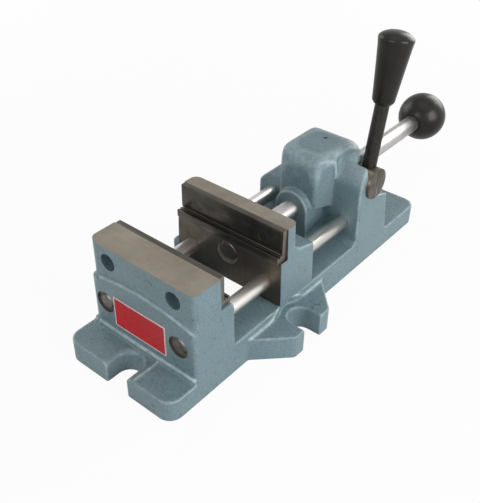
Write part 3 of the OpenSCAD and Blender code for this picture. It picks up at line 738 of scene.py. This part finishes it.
# raised lines of the casting, each with its radius and how strong a painted highlight the paint shows along it
castLines = {
    "arch": {"radius": 0.85, "gain": 0.50, "points": []},
    "root": {"radius": 1.6, "gain": 0.66, "points": [(-46.5, -33.4, 21.5), (0, -33.4, 21.5), (52.2, -33.4, 21.5)]},
    "slot": {"radius": 0.9, "gain": 0.66, "points": [(17.2, -34.0, 18.5), (16.8, -57.5, 18.3)]},
    "facet": {"radius": 1.2, "gain": 0.60, "points": [(26.8, 168.9, 84), (27.2, 169.0, 92), (26.6, 169.2, 98)]},
    "dome": {"radius": 1.3, "gain": 0.34, "points": [
        (26.6, 169.2, 98), (24.6, 170.0, 100), (22.8, 172.5, 101.1), (22.4, 180, 101.1), (22.8, 190, 100.8),
        (23.6, 202, 100.2)]},
    "lug": {"radius": 1.0, "gain": 0.62, "points": [
        (54.8, 24, 21.2), (54.8, 36, 21.2), (54.9, 47, 21.3), (54.5, 52.5, 22.2), (54.1, 56, 24.8),
        (53.5, 59.5, 26.8), (51.5, 65, 27.1), (50.6, 71, 27.1), (51.5, 77, 27.1), (53.5, 82.5, 26.8),
        (54.1, 86, 24.6), (54.5, 90, 22.2), (54.9, 96, 21.3), (54.8, 106, 21.2), (54.8, 118, 21.2)]},
}


def finishCastLines(s):
    # works out the arch's points and mirrors the lug's line
    low = s["archRise"] - s["archRadius"]
    castLines["arch"]["points"] = [
        (x, s["padFront"] + s["archSink"], low + math.sqrt(s["archRadius"] ** 2 - x * x))
        for x in range(*s["archSteps"])]
    mirrored = [(-x, y, z) for x, y, z in castLines["lug"]["points"]]
    castLines["leftLug"] = dict(castLines["lug"], points=mirrored)


def leverRoom(s, play):
    # the two boxes in which the lever swings
    inner, front, floor = (edge + play for edge in s["leverCut"])
    return [addBox("leverRoom", (inner, front, s["camZ"] + play), s["leverFar"]),
            addBox("leverRoom", (inner, s["camY"] + play, floor), s["leverFar"])]


def wingSlope(s):
    # wedge that takes the wing's top down behind the cam shaft
    (nearY, nearZ), (farY, farZ) = s["slope"]
    wedge = addBox("wingSlope", (s["leverCut"][0], nearY, farZ - s["slopeDepth"]), s["leverFar"])
    editAll()
    down = Vector((0, farZ - nearZ, nearY - farY)).normalized()
    bpy.ops.mesh.bisect(plane_co=(0, nearY * mm, nearZ * mm), plane_no=down, use_fill=True, clear_outer=True)
    leaveEdit()
    return wedge


def plugBaseHoles(s):
    # fills the holes so that the skin runs smoothly over them
    plugs = sideRods("plug", basePlugs["sides"])
    for name, hole in basePlugs["middle"].items():
        plug = addRod("plug", *hole)
        if name == "cam":
            for room in leverRoom(s, 0):
                cutAway(plug, [room])
        plugs.append(plug)
    return plugs


def inRecess(p, s):
    # bare metal round the guide rods' front ends
    sideSlack, floorSlack = s["recessSlack"]
    near = math.hypot(abs(p.x) - s["guideX"], p.z - s["guideZ"]) < s["recess"] + sideSlack
    return near and p.y < s["padFront"] + s["recessDepth"] + floorSlack


def roundCorner(obj, s, front):
    # the block's left front corner is rounder than the right one
    x, y = s["centre"]
    group = obj.vertex_groups.new(name="corner")
    for vert in obj.data.vertices:
        p = vert.co / mm
        inside = p.x < x and front < p.y < y and s["from"] < p.z < s["to"]
        if inside and math.hypot(p.x - x, p.y - y) > s["radius"]:
            group.add([vert.index], 1.0, "REPLACE")
    centre = bpy.data.objects.new("cornerCentre", None)
    bpy.context.scene.collection.objects.link(centre)
    centre.location = (x * mm, y * mm, 0)
    bpy.context.view_layer.update()
    applyModifier(obj, "CAST", cast_type="CYLINDER", factor=1.0, use_radius_as_size=False, radius=0,
                  size=s["radius"] * mm, object=centre, use_z=False, vertex_group="corner")
    obj.vertex_groups.clear()
    bpy.data.objects.remove(centre)


def cornerWeight(p, zone):
    x, y, z = zone
    return 1.0 if p.x < x and p.y < y and p.z > z else 0.0


def endWeight(p, s):
    # the fixed jaw's top rolls over at its right end
    low, high = s["z"]
    inside = p.x > s["x"] and p.y < s["y"] and p.z > low
    return min(1.0, (p.z - low) / (high - low)) if inside else 0.0


def domeWeight(p, s):
    # one on the dome's top edges, fading out below them
    (front, back), (low, high) = s["y"], s["z"]
    if p.y < front or p.y > back:
        return 0.0
    return max(0.0, min(1.0, (p.z - low) / (high - low)))


def makeBaseCasting(s):
    obj = copyOfNode("base_casting", "paintedBaseCasting")
    cutAway(obj, [wingSlope(s)])
    addStock(obj, lambda c, n: n.z > facing and isAt(c.z, s["jawTop"]), 0, 0, s["stock"])
    addStock(obj, lambda c, n: n.z < -facing and isAt(c.z, 0), 0, 0, -s["stock"])
    fill = fillSeat(*s["seatFill"], s["seatDraft"])
    finishCastLines(s)
    beads = [addBead(name, line["radius"], line["points"]) for name, line in castLines.items()]
    joinInto(obj, plugBaseHoles(s) + beads + [fill])
    castSkin(obj, s)
    softenRegion(obj, lambda p: domeWeight(p, s["domeZone"]), s["domeRounds"])
    for corner in s["leftCorner"]:
        roundCorner(obj, corner, s["cornerFront"])
    softenRegion(obj, lambda p: cornerWeight(p, s["cornerZone"]), s["cornerRounds"])
    softenRegion(obj, lambda p: endWeight(p, s["endZone"]), s["endRounds"])
    # ridges and the lifts below give the paint its painted highlights and painted shade
    ridges = measureRidges(obj, s["ridgeReach"])
    for line in castLines.values():
        liftLine(*ridges, line["points"], line["radius"], line["gain"])
    places, broad = measureRidges(obj, s["shoulder"]["reach"])
    onHead = (places[:, 1] > s["head"]["y"]) * shareOf(places[:, 2], *s["head"]["z"])
    liftShoulders(ridges[1], broad, onHead, s["shoulder"])
    paintTopHighlight(*ridges, s["wingTop"])
    thinMesh(obj, s["triangles"])
    cutFaces(obj, s["cuts"])
    for room in leverRoom(s, s["leverPlay"]):
        cutAway(obj, [room])
    boreHoles(obj, baseBores)
    giveFinish(obj, [enamel, machinedTop, shadedMachinedFace, plateEnd], [
        (1, lambda c, n: n.z > facing and isAt(c.z, s["jawTop"])),
        (2, lambda c, n: n.z < -facing and isAt(c.z, 0)),
        (2, lambda c, n: n.y > facing and isAt(c.y, s["seatBack"]) and c.z > s["seatFloor"] * mm),
        (3, lambda c, n: inRecess(c / mm, s)),
    ])
    keepRidges(obj, *ridges)
    smoothShade(obj, s["smooth"])
    finishPiece(obj, "base", "paint", "base_casting")


movableJaw = {
    "voxel": 0.85, "rounds": 6, "stock": 3.0, "triangles": 70000, "ridgeReach": 10, "smooth": 40,
    "jawTop": 95.0, "front": 62.5, "plateBack": 70.3, "seatFloor": 68.0, "rodZ": 54.0,
    "seatFill": ((-52.5, 59.5, 67.0), (52.5, 71.3, 98.0)), "seatDraft": 0.984,
    "ringDepth": 4.02, "ringReach": 10.2,
    "cuts": {
        "top": ((-80, 40, 95.0), (80, 120, 120)),
        "front": ((-80, 40, 10), (80, 62.5, 120)),
        "seat": ((-80, 40, 68.0), (80, 70.3, 120)),
    },
}

# fillings and bores of the movable jaw, in the form of the base's
jawPlugs = {
    "middle": {"rod": (10.3, (0, 59.5, 54.0), (0, 106.0, 54.0))},
    "sides": {
        "guide": (6.6, (37.0, 59.5, 44.5), (37.0, 106.0, 44.5)),
        "screw": (7.2, (32.0, 70.3, 82.5), (32.0, 83.8, 82.5)),
    },
}
jawBores = {
    "long": {
        "middle": {"rod": (8.05, (0, 50, 54.0), (0, 120, 54.0))},
        "sides": {"guide": (6.45, (37.0, 50, 44.5), (37.0, 120, 44.5))},
    },
    "short": {
        "middle": {
            "frontRing": (10.15, (0, 50, 54.0), (0, 66.5, 54.0)),
            "rearRing": (10.15, (0, 102.0, 54.0), (0, 120, 54.0)),
        },
        "sides": {"screw": (7.05, (32.0, 74.8, 82.5), (32.0, 120, 82.5))},
    },
}


def makeMovableJaw(s):
    obj = copyOfNode("movable_jaw", "paintedMovableJaw")
    addStock(obj, lambda c, n: n.z > facing and isAt(c.z, s["jawTop"]), 0, 0, s["stock"])
    addStock(obj, lambda c, n: n.y < -facing and isAt(c.y, s["front"]), 0, -s["stock"], 0)
    fill = fillSeat(*s["seatFill"], s["seatDraft"])
    joinInto(obj, [fill] + middleRods("plug", jawPlugs["middle"]) + sideRods("plug", jawPlugs["sides"]))
    castSkin(obj, s)
    ridges = measureRidges(obj, s["ridgeReach"])
    thinMesh(obj, s["triangles"])
    cutFaces(obj, s["cuts"])
    boreHoles(obj, jawBores)
    ringEnd = (s["front"] + s["ringDepth"]) * mm
    giveFinish(obj, [enamel, machinedTop, shadedMachinedFace, glintRingSteel], [
        (1, lambda c, n: n.z > facing and isAt(c.z, s["jawTop"])),
        (2, lambda c, n: n.y < -facing and (isAt(c.y, s["front"]) or isAt(c.y, s["plateBack"]))),
        (2, lambda c, n: n.z > facing and isAt(c.z, s["seatFloor"])),
        # the recess round the push rod gets the lighter ring steel, a painted highlight over its shade
        (3, lambda c, n: c.y < ringEnd and math.hypot(c.x / mm, c.z / mm - s["rodZ"]) < s["ringReach"]),
    ])
    keepRidges(obj, *ridges)
    smoothShade(obj, s["smooth"])
    finishPiece(obj, "jaw_carriage", "paint", "movable_jaw")


makeBaseCasting(baseCasting)
makeMovableJaw(movableJaw)
print("castings made")


# steel pieces with broken edges

edgeBreak = {
    "plate": 0.35, "shaft": 0.9, "guide": 0.35, "pushRod": 0.2,
    "flat": 1, "sharp": 50, "smooth": 30, "endFacing": 0.2,
}


def breakEdges(node, name, width, mat, body, slot, endMat=None, endAxis="y"):
    obj = copyOfNode(node, name)
    editAll()
    bpy.ops.mesh.dissolve_limited(angle_limit=math.radians(edgeBreak["flat"]))
    leaveEdit()
    bevelEdges(obj, width, edgeBreak["sharp"])
    ends = [(1, lambda c, n: abs(getattr(n, endAxis)) > edgeBreak["endFacing"])] if endMat else []
    giveFinish(obj, [mat, endMat] if endMat else [mat], ends)
    smoothShade(obj, edgeBreak["smooth"])
    finishPiece(obj, body, slot, node)


breakEdges("fixed_jaw_plate", "fixedJawPlate", edgeBreak["plate"], plateSteel, "base", "plate_steel",
           plateEnd, "x")
breakEdges("movable_jaw_plate", "movableJawPlate", edgeBreak["plate"], plateSteel, "jaw_carriage", "plate_steel",
           plateEnd, "x")
breakEdges("cam_shaft", "camShaft", edgeBreak["shaft"], turnedSteel, "lever", "dark_steel")
for side in ("left", "right"):
    breakEdges("guide_rod_" + side, side + "GuideRod", edgeBreak["guide"], rodSteel, "base", "bright_steel",
               sawnEnd)
breakEdges("actuating_rod", "pushRod", edgeBreak["pushRod"], pushSteel, "jaw_carriage", "bright_steel",
           shadedMachinedFace)
print("steel edges broken")


# bare red plate with a pale rim

namePlate = {"low": (-27.0, -33.8, 28.5), "high": (25.0, -33.0, 55.5), "rim": 0.9, "press": 0.12, "edge": 0.055}


def makeNamePlate(s):
    obj = addBox("bareNamePlate", s["low"], s["high"])
    obj.data.materials.append(badgeRim)
    obj.data.materials.append(badgeRed)
    editFaces(obj, lambda c, n: n.y < -facing)
    bpy.ops.mesh.inset(thickness=s["rim"] * mm)
    extrudeBy(0, s["press"], 0)
    obj.active_material_index = 1
    bpy.ops.object.material_slot_assign()
    leaveEdit()
    bevelEdges(obj, s["edge"], edgeBreak["sharp"])
    smoothShade(obj, edgeBreak["smooth"])
    finishPiece(obj, "base", "red_enamel", "name_plate")


makeNamePlate(namePlate)
print("name plate made")


# moulded ball and grip

ballKnob = {
    "place": (0, 374.446, 54.0), "radius": 24.0, "face": 352.3, "hole": 8.05, "depth": 29.6, "edge": 0.5,
    "segments": 96, "rings": 64, "sharp": 40, "edgeSegments": 3, "faceSlack": 0.1, "smooth": 35,
}


def makeBallKnob(s):
    clearSelection()
    bpy.ops.mesh.primitive_uv_sphere_add(segments=s["segments"], ring_count=s["rings"], radius=s["radius"] * mm,
                                         location=Vector(s["place"]) * mm, rotation=(math.radians(90), 0, 0))
    obj = bpy.context.object
    obj.name = "mouldedBallKnob"
    placeMesh(obj)
    editAll()
    bpy.ops.mesh.bisect(plane_co=(0, s["face"] * mm, 0), plane_no=(0, -1, 0), use_fill=True, clear_outer=True)
    leaveEdit()
    bevelEdges(obj, s["edge"], s["sharp"], s["edgeSegments"])
    editFaces(obj, lambda c, n: n.y < -facing and isAt(c.y, s["face"], s["faceSlack"]))
    onFace = [vert.co for vert in obj.data.vertices if isAt(vert.co.y, s["face"])]
    flat = max(math.hypot(place.x, place.z - s["place"][2] * mm) for place in onFace)
    bpy.ops.mesh.inset(thickness=flat - s["hole"] * mm)
    extrudeBy(0, s["depth"], 0)
    leaveEdit()
    obj.data.materials.append(blackPlastic)
    smoothShade(obj, s["smooth"])
    finishPiece(obj, "jaw_carriage", "black_plastic", "ball_knob")


leverGrip = {
    "pivot": (44.0, 190.8, 79.0), "lean": -9.4, "start": 67.0, "sides": 80, "smooth": 50,
    # radius and height
    "stations": [(6.9, 0), (7.4, 0.1), (9.0, 2.2), (9.3, 3.2), (10.7, 18), (12.2, 33), (13.6, 46), (14.2, 50),
                 (14.4, 51.4), (14.3, 52.3), (13.9, 53.1), (13.1, 54.0), (11.8, 55.1), (10.0, 56.1), (7.8, 57.0),
                 (5.2, 57.6), (2.6, 57.93), (0.6, 58.0)],
}


def makeLeverGrip(s):
    clearSelection()
    radius, height = s["stations"][0]
    bpy.ops.mesh.primitive_circle_add(vertices=s["sides"], radius=radius * mm, fill_type="NGON")
    obj = bpy.context.object
    obj.name = "mouldedLeverGrip"
    editAll()
    for nextRadius, nextHeight in s["stations"][1:]:
        extrudeBy(0, 0, nextHeight - height)
        bpy.ops.transform.resize(value=(nextRadius / radius, nextRadius / radius, 1))
        radius, height = nextRadius, nextHeight
    bpy.ops.mesh.select_all(action="SELECT")
    bpy.ops.mesh.normals_make_consistent(inside=False)
    leaveEdit()
    lean = math.radians(s["lean"])
    axis = Vector((0, -math.sin(lean), math.cos(lean)))
    obj.location = (Vector(s["pivot"]) + axis * s["start"]) * mm
    obj.rotation_euler = (lean, 0, 0)
    placeMesh(obj)
    obj.data.materials.append(blackPlastic)
    smoothShade(obj, s["smooth"])
    finishPiece(obj, "lever", "black_plastic", "lever_grip")


makeBallKnob(ballKnob)
makeLeverGrip(leverGrip)
print("ball and grip made")


# CAD nodes that only get a finish

nodeFinishes = {
    "guide_rod_set_screws": blackSteel, "cam_shaft_set_screw": blackSteel, "lever_rod": blackSteel,
    "fixed_jaw_screws": plateSteel, "movable_jaw_screws": plateSteel,
    "locking_plate_front": turnedSteel, "locking_plate_rear": turnedSteel,
    "rod_front_ring": glintRingSteel, "rod_rear_ring": glintRingSteel,
    "ball_knob_insert": brass,
}
for node, mat in nodeFinishes.items():
    for slot in cadNodes[node].material_slots:
        slot.material = mat
print("nodes painted")


# wound spring between the base and the locking plates

returnSpring = {"smooth": 40}


def makeReturnSpring(s):
    # a copy of the spring in its rest place, with the ground rod finish
    obj = copyOfNode("return_spring", "woundReturnSpring")
    obj.data.materials.append(rodSteel)
    smoothShade(obj, s["smooth"])
    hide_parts("return_spring")
    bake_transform(obj)


makeReturnSpring(returnSpring)
print("spring made")


# stage and light

stageLook = {
    "floorSize": 6.0, "floorZ": -0.0002, "floorColour": (0.88, 0.88, 0.88),
    "whiteShare": 0.94, "glossShare": 0.3, "fade": (0.5, 1.5),
}


def makeStage(s):
    clearSelection()
    bpy.ops.mesh.primitive_plane_add(size=s["floorSize"], location=(0, 0, s["floorZ"]))
    floor = bpy.context.object
    floor.name = "paleFloor"
    placeMesh(floor)
    mat = bpy.data.materials.new("paleFloor")
    mat.use_nodes = True
    tree = mat.node_tree
    tree.nodes.clear()
    out = tree.nodes.new("ShaderNodeOutputMaterial")
    matte = addNode(tree, "ShaderNodeBsdfDiffuse")
    matte.inputs["Color"].default_value = (*s["floorColour"], 1)
    glow = addNode(tree, "ShaderNodeEmission")
    path = tree.nodes.new("ShaderNodeLightPath")
    bounce = mathOn(tree, "MAXIMUM", path.outputs["Is Glossy Ray"], path.outputs["Is Transmission Ray"])
    soft = addNode(tree, "ShaderNodeMath", {0: bounce}, operation="MULTIPLY")
    soft.inputs[1].default_value = s["glossShare"]
    reach = addNode(tree, "ShaderNodeVectorMath", {0: objectCoords(tree)}, operation="LENGTH")
    white = rangeOn(tree, reach.outputs["Value"], *s["fade"], s["whiteShare"], 1.0)
    plain = mathOn(tree, "MULTIPLY", path.outputs["Is Camera Ray"], white)
    share = mathOn(tree, "MAXIMUM", plain, soft.outputs[0])
    mix = addNode(tree, "ShaderNodeMixShader", {0: share, 1: matte.outputs[0], 2: glow.outputs[0]})
    tree.links.new(mix.outputs[0], out.inputs["Surface"])
    floor.data.materials.append(mat)


worldLook = {"ambient": 0.075, "leftShare": 0.72, "leftFade": (-0.7, 0.4)}


def makeWorld(s):
    world = bpy.data.worlds.new("softRoom")
    bpy.context.scene.world = world
    world.use_nodes = True
    tree = world.node_tree
    tree.nodes.clear()
    out = tree.nodes.new("ShaderNodeOutputWorld")
    room = addNode(tree, "ShaderNodeBackground", Strength=s["ambient"])
    white = addNode(tree, "ShaderNodeBackground", Strength=1.0)
    for node in (room, white):
        node.inputs["Color"].default_value = (1, 1, 1, 1)
    path = tree.nodes.new("ShaderNodeLightPath")
    coords = tree.nodes.new("ShaderNodeTexCoord")
    parts = addNode(tree, "ShaderNodeSeparateXYZ", {0: coords.outputs["Generated"]})
    sides = rangeOn(tree, parts.outputs["X"], *s["leftFade"], s["leftShare"], 1.0)
    level = mathOn(tree, "MAXIMUM", path.outputs["Is Camera Ray"], sides)
    tree.links.new(level, white.inputs["Strength"])
    seen = mathOn(tree, "MAXIMUM", path.outputs["Is Camera Ray"], path.outputs["Is Glossy Ray"])
    shown = mathOn(tree, "MAXIMUM", seen, path.outputs["Is Transmission Ray"])
    mix = addNode(tree, "ShaderNodeMixShader", {0: shown, 1: room.outputs[0], 2: white.outputs[0]})
    tree.links.new(mix.outputs[0], out.inputs["Surface"])


lamps = {
    "softTop": {"place": (0.0, 0.1, 1.3), "size": 0.9, "power": 1.6},
    "rightKey": {"place": (1.15, 0.15, 0.55), "size": 0.8, "power": 11.4},
    "frontFill": {"place": (0.05, -1.1, 0.6), "size": 0.8, "power": 5.8},
    "leftFill": {"place": (-1.15, 0.15, 0.5), "size": 0.8, "power": 4.8},
    "rearFill": {"place": (0.1, 1.4, 0.5), "size": 0.8, "power": 7.8},
}
lampAim = (0, 0.1, 0.05)


def makeLamp(name, s):
    data = bpy.data.lights.new(name, "AREA")
    data.shape = "SQUARE"
    data.size = s["size"]
    data.energy = s["power"]
    lamp = bpy.data.objects.new(name, data)
    bpy.context.scene.collection.objects.link(lamp)
    lamp.location = s["place"]
    away = Vector(s["place"]) - Vector(lampAim)
    lamp.rotation_euler = away.to_track_quat("Z", "Y").to_euler()


makeStage(stageLook)
makeWorld(worldLook)
for name, s in lamps.items():
    makeLamp(name, s)
bpy.context.scene.view_settings.view_transform = "Standard"
print("stage and lamps set")
